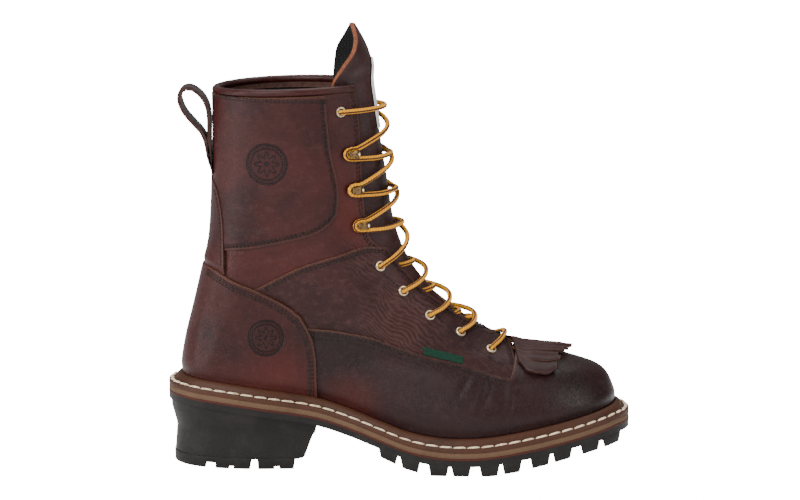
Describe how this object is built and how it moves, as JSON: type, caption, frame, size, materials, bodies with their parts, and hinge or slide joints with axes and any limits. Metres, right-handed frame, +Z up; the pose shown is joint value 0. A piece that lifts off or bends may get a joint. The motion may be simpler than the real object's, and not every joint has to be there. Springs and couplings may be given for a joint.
{
  "type": "logger boot",
  "caption": "Tall lace-up work boot with a lugged rubber sole, block heel, stitched welt, fringed kiltie, speed hooks and a pull loop.",
  "frame": {"origin": "on the floor under the middle of the heel's tread", "axes": "+X towards the toe, +Z up, -Y towards the outer (lateral) side of this right boot"},
  "size_m": [0.307, 0.1162, 0.2911],
  "materials": {
    "oiled_leather": "oiled pull-up, satin, worn",
    "vamp_leather": "oiled pull-up, satin, creased",
    "lining_leather": "matt lining",
    "welt_leather": "waxed edge",
    "midsole_board": "sanded edge",
    "sole_rubber": "matt moulded",
    "eyelet_brass": "pale enamelled",
    "hook_brass": "antiqued",
    "lace_cord": "round braid with a dark tracer",
    "label_cloth": "woven"
  },
  "bodies": {
    "root": {"backstay": "oiled_leather", "collar_binding": "oiled_leather", "counter": "oiled_leather", "eyelet_lateral_1": "eyelet_brass", "eyelet_lateral_2": "eyelet_brass", "eyelet_lateral_3": "eyelet_brass", "eyelet_lateral_4": "eyelet_brass", "eyelet_lateral_5": "eyelet_brass", "eyelet_lateral_6": "eyelet_brass", "eyelet_medial_1": "eyelet_brass", "eyelet_medial_2": "eyelet_brass", "eyelet_medial_3": "eyelet_brass", "eyelet_medial_4": "eyelet_brass", "eyelet_medial_5": "eyelet_brass", "eyelet_medial_6": "eyelet_brass", "heel": "sole_rubber", "hook_lateral_1": "hook_brass", "hook_lateral_2": "hook_brass", "hook_lateral_3": "hook_brass", "hook_medial_1": "hook_brass", "hook_medial_2": "hook_brass", "hook_medial_3": "hook_brass", "insole": "lining_leather", "kiltie": "vamp_leather", "lace": "lace_cord", "midsole": "midsole_board", "outsole": "sole_rubber", "pull_loop": "oiled_leather", "quarter_lateral": "oiled_leather", "quarter_medial": "oiled_leather", "side_label": "label_cloth", "side_panel_lateral": "oiled_leather", "side_panel_medial": "oiled_leather", "tongue": "oiled_leather", "upper": "oiled_leather", "vamp": "vamp_leather", "welt": "welt_leather"}
  },
  "joints": []
}
